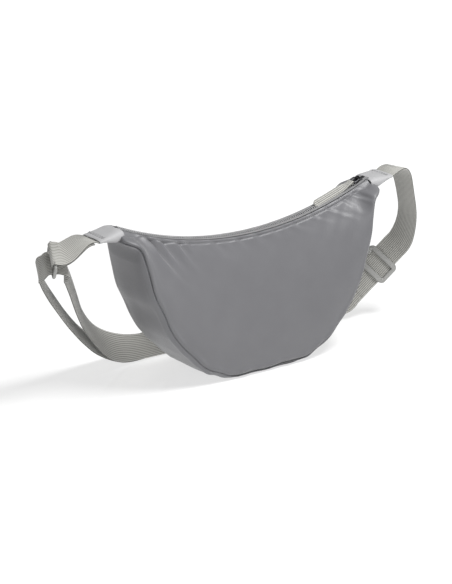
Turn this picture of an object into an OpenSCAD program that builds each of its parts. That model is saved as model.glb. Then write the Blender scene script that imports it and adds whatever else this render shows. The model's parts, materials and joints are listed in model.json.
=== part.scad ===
// Half-moon crossbody sling bag with a curved top zip and an adjustable webbing strap.
// Millimetres, +Z up. The origin is on the floor under the middle of the bag.
// The front panel faces -Y. The zip is an arc about an axis along Y, high above the bag.

/* [Bag] */
// Chord of the zip, end to end
zip_chord = 330; // [300:5:400]
// How far the middle of the zip hangs below its ends
zip_sag = 35; // [28:1:45]
// Height of the middle of the zip above the floor
zip_mid_z = 146; // [120:1:175]
// Depth of the bag from front seam to back seam
bag_depth = 80; // [60:1:100]
// Height of the horn at each end of the zip
horn_h = 12; // [10:1:18]
// Depth of the horn at its end
horn_depth = 34; // [32:1:44]
// How far the base is pressed flat by the floor
base_press = 4; // [3:0.5:9]

/* [Fabric] */
// Thickness of the outer fabric
cloth_t = 1.0; // [0.8:0.1:1.4]
// Thickness of the lining
lining_t = 0.6; // [0.5:0.1:0.9]
// Gap between outer fabric and lining
lining_gap = 3.0; // [2.8:0.1:4]
// Side of the square seam binding
binding_w = 2.0; // [1.2:0.1:2]
// Width of the inner pocket, as an angle about the zip axis
pocket_angle = 16; // [8:1:20]
// Top of the inner pocket below the zip
pocket_top = 22; // [15:1:35]
// Height of the inner pocket
pocket_h = 62; // [40:1:75]

/* [Zip] */
// Width across both tapes
zip_w = 16; // [14:0.5:20]
// Thickness of a tape
tape_t = 0.9; // [0.7:0.1:1.2]
// Radius of one coil
coil_r = 0.9; // [0.7:0.05:1.1]
// Thickness of the slider's post between the coils
post_t = 1.2; // [1:0.1:1.6]
// Length of the slider
slider_l = 11; // [9:0.5:13]
// Width of the slider
slider_w = 8.5; // [8:0.5:10]
// Thickness of each slider plate
plate_t = 1.3; // [1:0.1:1.6]
// Radius of the pin of the pull bail
bail_pin_r = 0.9; // [0.8:0.05:1.1]
// Length of the webbing pull
pull_l = 54; // [30:1:60]
// Width of the webbing pull
pull_w = 9; // [8:0.5:12]
// Thickness of the webbing pull
pull_t = 2.2; // [1.6:0.1:2.8]

/* [Strap] */
// Width of the webbing
web_w = 30; // [24:1:32]
// Thickness of the webbing
web_t = 1.5; // [1.2:0.1:1.8]
// Length of each fabric anchor tab
tab_l = 27; // [20:1:34]
// Thickness of a tab at its free end
tab_end_t = 4.4; // [4:0.1:6]
// Depth that the webbing reaches into a tab
stub_l = 14; // [8:1:18]

/* [Hardware] */
// Thickness of the bars of the adjuster and ring
bar_t = 3; // [2.4:0.1:3.4]
// Width of an end bar of the adjuster
adj_bar_w = 6.4; // [5:0.1:7]
// Length of the adjuster along the webbing
adj_l = 28; // [27:0.5:32]
// Side rail of the adjuster
adj_rail_w = 4.5; // [3:0.1:6]
// Distance between the two bars of the ring
ring_pitch = 15; // [14:0.5:20]
// Clearance between webbing and plastic
web_gap = 0.5; // [0.4:0.05:0.8]
// Clearance inside the fold of the webbing round a bar of the ring
fold_gap = 0.8; // [0.6:0.05:1]

/* [Hidden] */

cloth_grey = [0.45, 0.46, 0.47];
lining_grey = [0.30, 0.31, 0.32];
web_grey = [0.60, 0.60, 0.58];
plastic_grey = [0.58, 0.58, 0.57];
metal_grey = [0.25, 0.25, 0.26];

fit_gap = 0.3;         // between neighbours that don't move
run_gap = 0.3;         // between neighbours that do

// The zip arc: radius, centre height and half angle
zip_r = (pow(zip_chord / 2, 2) + zip_sag * zip_sag) / (2 * zip_sag);
zip_cz = zip_mid_z + zip_r;
zip_half = asin(zip_chord / 2 / zip_r);

// The outline of the bag, as a height below the zip arc at each angle from straight down
crown_angle = zip_half * 0.9;
crown_h = zip_mid_z + base_press;
outline_pow_left = 2.2;
outline_pow_right = 2.6;
outline_end_pow = 1.1;
function belly(a) = abs(a) >= crown_angle ? 0
    : pow(1 - pow(abs(a) / crown_angle, a < 0 ? outline_pow_left : outline_pow_right), outline_end_pow);
function free_r(a) = zip_r + horn_h + (crown_h - horn_h) * belly(a);
function seam_r(a) = min(free_r(a), zip_cz / cos(a));

// Half the depth of the bag at each angle: full in the middle, narrowing to the horns
depth_pow = 3;
function half_depth(a) = let (u = pow(min(1, abs(a) / zip_half), depth_pow))
    bag_depth / 2 * sqrt(1 - u) + horn_depth / 2 * u;

// How a panel swells from the zip (s = 0) to the seam (s = 1)
swell_turn = 110;
function swell(s) = sin(swell_turn * s);

function at_arc(a, r, y) = [r * sin(a), y, zip_cz - r * cos(a)];
function panel_point(side, a, s, inset, edge) =
    let (y = zip_w / 2 + (half_depth(a) - zip_w / 2) * swell(s) - inset)
    at_arc(a, zip_r + (seam_r(a) - edge - zip_r) * s, side * y);

// A thin solid between two grids of points with the same rows and columns
module skin(outer, inner) {
    nr = len(outer);
    nc = len(outer[0]);
    n = nr * nc;
    pts = concat([for (row = outer) each row], [for (row = inner) each row]);
    top = [for (i = [0:nr - 2], j = [0:nc - 2]) each [
        [i * nc + j, i * nc + j + 1, (i + 1) * nc + j + 1],
        [i * nc + j, (i + 1) * nc + j + 1, (i + 1) * nc + j]]];
    under = [for (f = top) [f[2] + n, f[1] + n, f[0] + n]];
    rim = concat(
        [for (j = [0:nc - 1]) j],
        [for (i = [1:nr - 1]) i * nc + nc - 1],
        [for (j = [nc - 2:-1:0]) (nr - 1) * nc + j],
        [for (i = [nr - 2:-1:1]) i * nc]);
    m = len(rim);
    wall = [for (k = [0:m - 1]) let (a = rim[k], b = rim[(k + 1) % m]) each [
        [b, a, a + n],
        [b, a + n, b + n]]];
    polyhedron(points = pts, faces = concat(top, under, wall));
}

panel_steps = 36;
swell_steps = 9;
function span(a0, a1, n) = [for (i = [0:n]) a0 + (a1 - a0) * i / n];

// Rows at the same angles in every layer of the bag, so that the layers stay apart
function arc_rows(a0, a1) = span(a0, a1, round(panel_steps * abs(a1) / zip_half));

// side is -1 for the front and 1 for the back
module panel(side, inset, t, edge, a_end, s0, s1) {
    angles = side < 0 ? arc_rows(-a_end, a_end) : arc_rows(a_end, -a_end);
    outer = [for (a = angles) [for (s = span(s0, s1, swell_steps)) panel_point(side, a, s, inset, edge)]];
    inner = [for (a = angles) [for (s = span(s0, s1, swell_steps)) panel_point(side, a, s, inset + t, edge)]];
    skin(inner, outer);
}

gusset_steps = 6;
module gusset(inset, t, edge, a_end) {
    function row(a, r) = [for (v = span(-1, 1, gusset_steps))
        at_arc(a, r, v * (half_depth(a) * swell(1) - edge))];
    angles = arc_rows(-a_end, a_end);
    skin([for (a = angles) row(a, seam_r(a) - inset - t)], [for (a = angles) row(a, seam_r(a) - inset)]);
}

module front_panel() {
    color(cloth_grey)
        panel(-1, 0, cloth_t, 0, zip_half, 0, 1);
}

module back_panel() {
    color(cloth_grey)
        panel(1, 0, cloth_t, 0, zip_half, 0, 1);
}

module bottom_gusset() {
    color(cloth_grey)
        gusset(0, cloth_t, cloth_t + fit_gap, zip_half);
}

lining_inset = cloth_t + lining_gap;
lining_end = zip_half * 5 / 6;
lining_start = 0.12;
module front_lining() {
    color(lining_grey)
        panel(-1, lining_inset, lining_t, lining_inset, lining_end, lining_start, 1);
}

module back_lining() {
    color(lining_grey)
        panel(1, lining_inset, lining_t, lining_inset, lining_end, lining_start, 1);
}

module gusset_lining() {
    color(lining_grey)
        gusset(lining_inset, lining_t, lining_inset + lining_t + fit_gap, lining_end);
}

pocket_inset = lining_inset + lining_t + fit_gap;
pocket_slot = 1.2;
module inner_pocket() {
    s0 = pocket_top / zip_mid_z;
    s1 = (pocket_top + pocket_h) / zip_mid_z;
    color(lining_grey)
        panel(1, pocket_inset + pocket_slot, lining_t, lining_inset, pocket_angle / 2, s0, s1);
}

module binding(side) {
    in0 = cloth_t + fit_gap;
    function at(a, iy, ir) = at_arc(a, seam_r(a) - ir, side * (half_depth(a) * swell(1) - iy));
    angles = side < 0 ? arc_rows(-lining_end, lining_end) : arc_rows(lining_end, -lining_end);
    color(lining_grey)
        skin([for (a = angles) [at(a, in0 + binding_w, in0), at(a, in0, in0)]],
            [for (a = angles) [at(a, in0 + binding_w, in0 + binding_w), at(a, in0, in0 + binding_w)]]);
}

module front_seam_binding() {
    binding(-1);
}

module back_seam_binding() {
    binding(1);
}

// A strip bent along the zip arc: an outline of (radius, y) points swept from angle a0 to a1
arc_fn = 180;
module along_zip(a0, a1) {
    translate([0, 0, zip_cz])
        rotate([90, 0, 0])
            rotate([0, 0, a0 - 90])
                rotate_extrude(angle = a1 - a0, $fn = arc_fn)
                    children();
}

coil_y = post_t / 2 + run_gap + coil_r;
module zip_tape(side) {
    y0 = coil_y + coil_r + 0.1;
    y1 = zip_w / 2 - cloth_t - fit_gap;
    color(cloth_grey)
        along_zip(-zip_half, zip_half)
            translate([zip_r, side > 0 ? -y1 : y0])
                square([tape_t, y1 - y0]);
}

module front_zip_tape() {
    zip_tape(-1);
}

module back_zip_tape() {
    zip_tape(1);
}

stop_l = 3;
stop_angle = stop_l / zip_r * 180 / PI;
coil_end = zip_half - stop_angle - 0.1;
module zip_coil(side) {
    color(cloth_grey)
        along_zip(-coil_end, coil_end)
            translate([zip_r, -side * coil_y])
                circle(r = coil_r, $fn = 20);
}

module front_zip_coil() {
    zip_coil(-1);
}

module back_zip_coil() {
    zip_coil(1);
}

module zip_end_stops() {
    stop_w = 2 * (coil_y + coil_r);
    color(metal_grey)
        for (a0 = [-zip_half, zip_half - stop_angle])
            along_zip(a0, a0 + stop_angle)
                translate([zip_r - coil_r, -stop_w / 2])
                    square([2 * coil_r, stop_w]);
}

// Things on the slider stand in its own frame: x along the zip, z up out of the bag
slider_angle = coil_end - (slider_l / 2 + 1) / zip_r * 180 / PI;
module at_slider() {
    translate([0, 0, zip_cz])
        rotate([0, -slider_angle, 0])
            translate([0, 0, -zip_r])
                children();
}

plate_gap = coil_r + 0.4;
crown_l = 5;
crown_w = 2.6;
crown_top = 3.2;
pin_z = plate_gap + plate_t + 1.3;
module zip_slider() {
    half = slider_l / 2 / zip_r * 180 / PI;
    color(metal_grey) {
        difference() {
            union() {
                along_zip(slider_angle - half, slider_angle + half)
                    translate([zip_r - plate_gap - plate_t, -slider_w / 2])
                        square([plate_t, slider_w]);
                along_zip(slider_angle - half, slider_angle + half)
                    translate([zip_r + plate_gap, -slider_w / 2])
                        square([plate_t, slider_w]);
                at_slider()
                    translate([slider_l / 2 - 3, -post_t / 2, -plate_gap - 0.3])
                        cube([2, post_t, 2 * plate_gap + 0.6]);
                at_slider()
                    translate([0, crown_w / 2, pin_z])
                        rotate([90, 0, 0])
                            cylinder(r = crown_l / 2, h = crown_w, $fn = 32);
            }
            at_slider()
                translate([0, crown_w, pin_z])
                    rotate([90, 0, 0])
                        cylinder(r = bail_pin_r + 0.08, h = 2 * crown_w, $fn = 32);
        }
    }
}

bail_l = 8.5;
bail_arm_w = 1.2;
bail_t = 2 * bail_pin_r;
bail_w = pull_w + 2 * bail_arm_w + 0.6;
module zip_pull_bail() {
    color(metal_grey)
        at_slider() {
            for (x = [0, -bail_l])
                translate([x, bail_w / 2, pin_z])
                    rotate([90, 0, 0])
                        cylinder(r = bail_pin_r, h = bail_w, $fn = 32);
            for (y = [-bail_w / 2, bail_w / 2 - bail_arm_w])
                translate([-bail_l, y, pin_z - bail_pin_r])
                    cube([bail_l, bail_arm_w, bail_t]);
        }
}

// How far the pull slants up, to lie along the rising zip
pull_lift = 4;

// The pull is one piece of webbing folded round the bail's far bar, with a round end
module zip_pull_tab() {
    eye_r = bail_pin_r + 0.15;
    eye_out = eye_r + 1.1;
    color(web_grey)
        at_slider()
            translate([-bail_l, 0, pin_z])
                rotate([0, pull_lift, 0])
                difference() {
                    union() {
                        rotate([90, 0, 0])
                            cylinder(r = eye_out, h = pull_w, center = true, $fn = 32);
                        translate([-pull_l + pull_w / 2, -pull_w / 2, -pull_t / 2])
                            cube([pull_l - pull_w / 2, pull_w, pull_t]);
                        translate([-pull_l + pull_w / 2, 0, -pull_t / 2])
                            cylinder(r = pull_w / 2, h = pull_t, $fn = 48);
                    }
                    rotate([90, 0, 0])
                        cylinder(r = eye_r, h = pull_w + 2, center = true, $fn = 32);
                }
}

// Each tab runs from the horn's end to where the webbing leaves it
left_tab_drop = 5;
right_tab_drop = -2;
tab_x = zip_chord / 2 + 1.2;
tab_w = web_w + 3.5;
tab_base_t = 9;
tab_z = zip_mid_z + zip_sag - 3;
slot_t = web_t + 0.6;
tab_base_slant = 6;
module anchor_tab(drop) {
    tilt = asin(drop / tab_l);
    color(cloth_grey)
        translate([tab_x, 0, tab_z])
            rotate([0, tilt, 0])
                difference() {
                    translate([0, tab_w / 2, 0])
                        rotate([90, 0, 0])
                            linear_extrude(tab_w)
                                polygon([
                                    [tab_base_slant, -tab_base_t / 2 - 2], [tab_l / 2, -tab_end_t / 2 - 1],
                                    [tab_l, -tab_end_t / 2], [tab_l, tab_end_t / 2],
                                    [tab_l / 2, tab_end_t / 2 + 1], [1, tab_base_t / 2 - 2]]);
                    translate([tab_l - stub_l, -(web_w + 0.8) / 2, -slot_t / 2])
                        cube([stub_l + 1, web_w + 0.8, slot_t]);
                }
}

module webbing_end(drop) {
    tilt = asin(drop / tab_l);
    color(web_grey)
        translate([tab_x, 0, tab_z])
            rotate([0, tilt, 0])
                translate([tab_l - stub_l + fit_gap, -web_w / 2, -web_t / 2])
                    cube([stub_l - fit_gap, web_w, web_t]);
}

module left_anchor_tab() {
    mirror([1, 0, 0])
        anchor_tab(left_tab_drop);
}

module right_anchor_tab() {
    anchor_tab(right_tab_drop);
}

module left_webbing_end() {
    mirror([1, 0, 0])
        webbing_end(left_tab_drop);
}

module right_webbing_end() {
    webbing_end(right_tab_drop);
}

// Webbing: a flat band swept along a smooth curve through rows of [middle, width direction]
function unit(v) = v / norm(v);
function square_to(w, t) = unit(w - (w * t) * t);
function blend4(a, b, c, d, t) = 0.5 * (2 * b + (c - a) * t + (2 * a - 5 * b + 4 * c - d) * t * t
    + (3 * b - a - 3 * c + d) * t * t * t);
function smooth(rows, k, n) = let (m = len(rows) - 1)
    [for (i = [0:m - 1], j = [0:n - 1])
        blend4(rows[max(i - 1, 0)][k], rows[i][k], rows[i + 1][k], rows[min(i + 2, m)][k], j / n),
        rows[m][k]];
module band(rows, n, w, t) {
    mid = smooth(rows, 0, n);
    wide = smooth([for (r = rows) [r[0], unit(r[1])]], 1, n);
    m = len(mid) - 1;
    dirs = [for (i = [0:m]) unit(mid[min(i + 1, m)] - mid[max(i - 1, 0)])];
    across = [for (i = [0:m]) square_to(wide[i], dirs[i])];
    up = [for (i = [0:m]) cross(dirs[i], across[i])];
    skin([for (i = [0:m]) [mid[i] - across[i] * w / 2 + up[i] * t / 2, mid[i] + across[i] * w / 2 + up[i] * t / 2]],
        [for (i = [0:m]) [mid[i] - across[i] * w / 2 - up[i] * t / 2, mid[i] + across[i] * w / 2 - up[i] * t / 2]]);
}

// Turns a local frame with these axes into angles for rotate()
function turn_to(ex, ey, ez) = [atan2(ey[2], ez[2]), -asin(ex[2]), atan2(ex[1], ex[0])];

// The ring: its upper bar's middle, the direction of its bars, and the way down to its lower bar
ring_at = [-235, 5, 163];
ring_bar = unit([-33, -78, -53]);
ring_down = square_to([13, 52, -84], ring_bar);
ring_out = cross(ring_down, ring_bar);
ring_low = ring_at + ring_down * ring_pitch;
wrap_r = bar_t / 2 + fold_gap + web_t / 2;

// A row of the band as it turns round a bar: at 0 it is outside the bar, at -90 above it
function round_bar(mid, a) = [mid + (ring_down * sin(a) + ring_out * cos(a)) * wrap_r, ring_bar];

// A row near a bar of the ring, some way outside and below it
function by_bar(mid, outside, below) = [mid + ring_out * outside + ring_down * below, ring_bar];

// The adjuster: its middle, and the way along the straight stretch of webbing that it slides on
adj_at = [219, 38, 60];
adj_run = unit([-67, 21, -66]);
adj_wide = square_to([48, -61, -63], adj_run);
adj_out = cross(adj_wide, adj_run);
core_r = 1.3;
core_wrap = core_r + 0.25 + web_t / 2;
core_n = web_t / 2 + 0.3 + web_t / 2 + core_wrap;
double_n = web_t * 2 + 0.6;
function on_run(u, n) = [adj_at + adj_run * u + adj_out * n, adj_wide];

// The routes: each row is the middle of the band and the way across it
main_rows = [
    [[194, 0, 180], [0, -10, 0]],
    [[203, 0, 184], [0, -10, 0]],
    [[213, 1, 184], [0, -98, 10]],
    [[223, 4, 173], [-3, -95, 25]],
    [[233, 8, 149], [-8, -92, 25]],
    [[241, 13, 126], [0, -98, 5]],
    [[244, 19, 106], [12, -95, -10]],
    [[243, 26, 89], [33, -82, -38]],
    on_run(-26, 0),
    on_run(-14, 0),
    on_run(4, 0),
    on_run(22, 0),
    on_run(40, 0),
    on_run(50, 0),
    on_run(58, 0),
    [[158, 55, 16], [25, -35, -90]],
    [[132, 59, 16], [6, -16, -98]],
    [[96, 62, 16], [0, -5, -99]],
    [[60, 64, 16], [0, 0, -10]],
    [[0, 66, 16], [0, 10, -99]],
    [[-50, 68, 16], [0, 12, -99]],
    [[-85, 68, 17], [0, 5, -99]],
    [[-113, 66, 21], [-8, -15, -98]],
    [[-135, 62, 31], [-18, -50, -85]],
    [[-155, 56, 47], [-28, -72, -64]],
    [[-173, 49, 69], [-42, -78, -46]],
    [[-186, 41, 92], [-50, -75, -42]],
    [[-198, 33, 116], [-52, -74, -42]],
    [[-209, 26, 137], [-50, -75, -45]],
    by_bar(ring_low, -16, 2),
    by_bar(ring_low, -8, -wrap_r + 0.6),
    round_bar(ring_low, -98)
];
return_rows = [
    round_bar(ring_low, -82),
    by_bar(ring_low, 5, -wrap_r + 1.5),
    by_bar(ring_low, 8, 4),
    [[-240, 27, 140], [-35, -80, -45]],
    [[-229, 32, 120], [-42, -83, -30]],
    [[-211, 40, 96], [-44, -84, -22]],
    [[-192, 49, 73], [-44, -84, -18]],
    [[-170, 59, 50], [-42, -84, -20]],
    [[-147, 69, 31], [-32, -82, -36]],
    [[-122, 76, 17], [-18, -82, -50]],
    [[-98, 81, 10.5], [-8, -78, -58]],
    [[-60, 82, 12.5], [0, -68, -72]],
    [[-20, 79, 15.5], [0, -40, -90]],
    [[20, 75, 16], [0, -10, -99]],
    [[60, 72, 16], [0, 0, -10]],
    [[96, 69, 16], [0, -5, -99]],
    [[130, 64, 16], [6, -16, -98]],
    [[156, 60, 17], [25, -35, -90]],
    on_run(57, double_n + 0.3),
    on_run(48, double_n),
    on_run(36, double_n),
    on_run(21, double_n)
];
ring_web_rows = [
    [[-195.2, 0, 174], [0, -10, 0]],
    [[-206, 0.5, 174], [-6, -97, -12]],
    by_bar(ring_at, -10, -wrap_r - 0.3),
    round_bar(ring_at, -90),
    round_bar(ring_at, -45),
    round_bar(ring_at, 0),
    round_bar(ring_at, 45),
    round_bar(ring_at, 90),
    by_bar(ring_at, -10, wrap_r - 0.6),
    [[-207, 0.5, 169.5], [-12, -95, -20]],
    [[-197, 0, 171.4], [0, -10, 0]]
];
sewn_rows = [
    on_run(20, double_n),
    on_run(12, double_n + 0.2),
    on_run(5, core_n + core_wrap - 0.6),
    on_run(0, core_n + core_wrap),
    on_run(-core_wrap * 0.7, core_n + core_wrap * 0.7),
    on_run(-core_wrap, core_n),
    on_run(-core_wrap * 0.7, core_n - core_wrap * 0.7),
    on_run(0, core_n - core_wrap),
    on_run(5, core_n - core_wrap),
    on_run(12, core_n - core_wrap),
    on_run(20, core_n - core_wrap)
];
route_steps = 3;

module ring_webbing() {
    color(web_grey)
        band(ring_web_rows, route_steps, web_w, web_t);
}

module strap_main_run() {
    color(web_grey)
        band(main_rows, route_steps, web_w, web_t);
}

module strap_return_run() {
    color(web_grey)
        band(return_rows, route_steps, web_w, web_t);
}

module strap_sewn_end() {
    color(web_grey)
        band(sewn_rows, route_steps, web_w, web_t);
}

// A closed rectangular ring: two round bars between two side bars
module strap_ring() {
    inner_w = web_w + 3;
    color(plastic_grey)
        translate(ring_at)
            rotate(turn_to(ring_bar, ring_down, cross(ring_bar, ring_down))) {
                for (y = [0, ring_pitch])
                    translate([-inner_w / 2 - 1, y, 0])
                        rotate([0, 90, 0])
                            cylinder(d = bar_t, h = inner_w + 2, $fn = 32);
                for (x = [-inner_w / 2 - bar_t, inner_w / 2])
                    translate([x, -bar_t / 2, -bar_t / 2])
                        cube([bar_t, ring_pitch + bar_t, bar_t]);
            }
}

// Tri-glide: two end bars over the webbing, a round centre bar under it, and two side rails
module strap_adjuster() {
    inner_w = web_w + 1.4;
    outer_w = inner_w + 2 * adj_rail_w;
    face_n = web_t / 2 + web_gap;
    deep_n = core_n + core_r + 0.4;
    color(plastic_grey)
        translate(adj_at)
            rotate(turn_to(adj_run, adj_wide, cross(adj_run, adj_wide)))
                mirror([0, 0, 1]) {
                    for (y = [-outer_w / 2, inner_w / 2])
                        translate([-adj_l / 2, y, -face_n - bar_t])
                            cube([adj_l, adj_rail_w, deep_n + face_n + bar_t]);
                    for (x = [-adj_l / 2, adj_l / 2 - adj_bar_w])
                        translate([x, -outer_w / 2, -face_n - bar_t])
                            cube([adj_bar_w, outer_w, bar_t]);
                    translate([0, outer_w / 2 - 1, core_n])
                        rotate([90, 0, 0])
                            cylinder(r = core_r, h = outer_w - 2, $fn = 32);
                }
}

front_panel();
back_panel();
bottom_gusset();
front_lining();
back_lining();
gusset_lining();
inner_pocket();
front_seam_binding();
back_seam_binding();
front_zip_tape();
back_zip_tape();
front_zip_coil();
back_zip_coil();
zip_end_stops();
zip_slider();
zip_pull_bail();
zip_pull_tab();
left_anchor_tab();
right_anchor_tab();
left_webbing_end();
right_webbing_end();
ring_webbing();
strap_ring();
strap_main_run();
strap_return_run();
strap_sewn_end();
strap_adjuster();
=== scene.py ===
"""Looks for a half-moon crossbody sling bag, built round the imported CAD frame. All lengths are in metres."""
import json
import math

import bpy
import numpy as np
from mathutils import Matrix, Vector


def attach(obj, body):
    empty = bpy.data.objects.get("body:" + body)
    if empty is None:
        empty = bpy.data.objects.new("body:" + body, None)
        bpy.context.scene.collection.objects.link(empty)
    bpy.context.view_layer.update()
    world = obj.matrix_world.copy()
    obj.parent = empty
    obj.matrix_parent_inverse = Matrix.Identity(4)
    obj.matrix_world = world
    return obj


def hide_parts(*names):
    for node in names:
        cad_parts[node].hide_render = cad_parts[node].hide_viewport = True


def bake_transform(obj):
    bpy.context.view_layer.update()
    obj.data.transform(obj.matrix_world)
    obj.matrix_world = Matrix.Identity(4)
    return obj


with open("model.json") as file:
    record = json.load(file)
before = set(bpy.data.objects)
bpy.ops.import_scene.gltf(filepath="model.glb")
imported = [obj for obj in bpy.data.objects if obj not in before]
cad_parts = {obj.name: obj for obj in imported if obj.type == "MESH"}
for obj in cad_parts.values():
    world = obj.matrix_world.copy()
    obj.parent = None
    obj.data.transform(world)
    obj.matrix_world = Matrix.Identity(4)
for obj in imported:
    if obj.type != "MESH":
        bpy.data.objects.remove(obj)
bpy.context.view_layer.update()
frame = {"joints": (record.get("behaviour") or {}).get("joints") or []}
MM = 0.001

# ------------------------------------------------------------------ sizes of the bag, as in the CAD
JOINTS = {j["name"]: j for j in frame["joints"]}
ZIP_CZ = JOINTS["zip_travel"]["pos_m"][2]
ZIP_CHORD = 330 * MM
ZIP_SAG = 35 * MM
ZIP_R = ((ZIP_CHORD / 2) ** 2 + ZIP_SAG ** 2) / (2 * ZIP_SAG)
ZIP_HALF = math.asin(ZIP_CHORD / 2 / ZIP_R)
ZIP_W = 16 * MM
CLOTH_T = 1.0 * MM
HORN_H = 12 * MM
HORN_DEPTH = 34 * MM
BAG_DEPTH = 80 * MM
BASE_PRESS = 4 * MM
CROWN_ANGLE = ZIP_HALF * 0.9
CROWN_H = ZIP_CZ - ZIP_R + BASE_PRESS
OUTLINE_POW = (2.2, 2.6)
OUTLINE_END_POW = 1.1
DEPTH_POW = 3
SWELL_TURN = math.radians(110)
SEAM_WOBBLE = 1.0 * MM
WEB_W = 30 * MM
WEB_T = 1.5 * MM
RIBS = 15
COIL_R = 0.9 * MM
COIL_Y = 1.8 * MM
STOP_L, SLIDER_L = 3.0, 11.0


# ------------------------------------------------------------------ small helpers
def unit(v):
    v = np.asarray(v, float)
    return v / np.linalg.norm(v)


def square_to(w, t):
    return unit(np.asarray(w, float) - np.dot(w, t) * t)


def eased(t):
    """A soft step: 0 at 0, 1 at 1, and level at both."""
    return t * t * (3 - 2 * t)


def run_lengths(points):
    """How far along a line of points each one lies, from 0 at the first."""
    return np.concatenate([[0], np.cumsum(np.linalg.norm(np.diff(points, axis=0), axis=1))])


def rounded_loop(x0, x1, y0, y1, corner, steps):
    """A rectangle with rounded corners: x, y and the turn so far, at each of its points."""
    loop = []
    for cx, cy, quarter in ((x1 - corner, y1 - corner, 0), (x0 + corner, y1 - corner, 90),
                            (x0 + corner, y0 + corner, 180), (x1 - corner, y0 + corner, 270)):
        for k in range(steps + 1):
            t = math.radians(quarter + 90 / steps * k)
            loop.append((cx + corner * math.cos(t), cy + corner * math.sin(t), t))
    return loop


def mesh_piece(name, verts, faces, material, uvs=None):
    """A mesh object with one material; uvs gives one (u, v) in metres for each vertex."""
    mesh = bpy.data.meshes.new(name)
    mesh.from_pydata([tuple(v) for v in verts], [], [tuple(f) for f in faces])
    if uvs is not None:
        layer = mesh.uv_layers.new(name="cloth")
        index = np.zeros(len(mesh.loops), np.int32)
        mesh.loops.foreach_get("vertex_index", index)
        layer.data.foreach_set("uv", np.asarray(uvs, np.float32)[index].ravel())
    mesh.polygons.foreach_set("use_smooth", [True] * len(mesh.polygons))
    mesh.materials.append(material)
    mesh.update()
    obj = bpy.data.objects.new(name, mesh)
    bpy.context.scene.collection.objects.link(obj)
    return obj


def applied(obj):
    """Turns an object's modifiers, or its curve, into one plain mesh with the same name."""
    dg = bpy.context.evaluated_depsgraph_get()
    mesh = bpy.data.meshes.new_from_object(obj.evaluated_get(dg))
    name = obj.name
    made = bpy.data.objects.new(name + "_made", mesh)
    made.matrix_world = obj.matrix_world.copy()
    bpy.context.scene.collection.objects.link(made)
    bpy.data.objects.remove(obj)
    made.name = name
    return made


def joined(name, parts):
    """Joins mesh objects into one."""
    bpy.ops.object.select_all(action="DESELECT")
    for p in parts:
        p.select_set(True)
    bpy.context.view_layer.objects.active = parts[0]
    bpy.ops.object.join()
    parts[0].name = name
    return parts[0]


def grid_faces(rows, cols, closed=False):
    """Quads over a grid of vertices; closed joins the last column to the first."""
    faces = []
    for i in range(rows - 1):
        for j in range(cols if closed else cols - 1):
            k = (j + 1) % cols
            faces.append((i * cols + j, i * cols + k, (i + 1) * cols + k, (i + 1) * cols + j))
    return faces


def frame_matrix(origin, ex, ey, ez):
    m = Matrix.Identity(4)
    for k, axis in enumerate((ex, ey, ez)):
        for r in range(3):
            m[r][k] = axis[r]
    for r in range(3):
        m[r][3] = origin[r]
    return m


# ------------------------------------------------------------------ materials
def nodes_of(name):
    mat = bpy.data.materials.new(name)
    mat.use_nodes = True
    tree = mat.node_tree
    return mat, tree, tree.nodes["Principled BSDF"]


def add(tree, kind, **values):
    node = tree.nodes.new(kind)
    for key, value in values.items():
        if key in node.inputs:
            node.inputs[key].default_value = value
        else:
            setattr(node, key, value)
    return node


def math_node(tree, operation, a, b=None):
    node = tree.nodes.new("ShaderNodeMath")
    node.operation = operation
    for k, value in enumerate((a, b)):
        if value is None:
            continue
        if isinstance(value, (int, float)):
            node.inputs[k].default_value = value
        else:
            tree.links.new(value, node.inputs[k])
    return node.outputs[0]


def weighted(tree, *parts):
    """The sum of some outputs, each times its own weight."""
    total = None
    for value, weight in parts:
        part = math_node(tree, "MULTIPLY", value, weight)
        total = part if total is None else math_node(tree, "ADD", total, part)
    return total


def mixed(tree, factor, low, high):
    """A colour between low and high, each a colour or an output."""
    node = tree.nodes.new("ShaderNodeMix")
    node.data_type = "RGBA"
    tree.links.new(factor, node.inputs[0])
    for socket, value in ((node.inputs[6], low), (node.inputs[7], high)):
        if isinstance(value, tuple):
            socket.default_value = (*value, 1)
        else:
            tree.links.new(value, socket)
    return node.outputs[2]


def cloth_uv(tree):
    """The cloth's own coordinates in metres, across and along."""
    uv = add(tree, "ShaderNodeUVMap", uv_map="cloth")
    split = tree.nodes.new("ShaderNodeSeparateXYZ")
    tree.links.new(uv.outputs[0], split.inputs[0])
    return uv.outputs[0], split.outputs[0], split.outputs[1]


def thread(tree, coordinate, pitch):
    """A round ridge every pitch metres: 0 between threads, 1 on top of one."""
    turned = math_node(tree, "MULTIPLY", coordinate, math.pi / pitch)
    return math_node(tree, "ABSOLUTE", math_node(tree, "SINE", turned))


def noise(tree, vector, scale, detail=3.0):
    node = add(tree, "ShaderNodeTexNoise", Scale=scale, Detail=detail, Roughness=0.55)
    tree.links.new(vector, node.inputs["Vector"])
    return node.outputs[0]


def bumped(tree, shader, height, distance, strength):
    bump = add(tree, "ShaderNodeBump", Strength=strength, Distance=distance)
    tree.links.new(height, bump.inputs["Height"])
    tree.links.new(bump.outputs[0], shader.inputs["Normal"])


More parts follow.
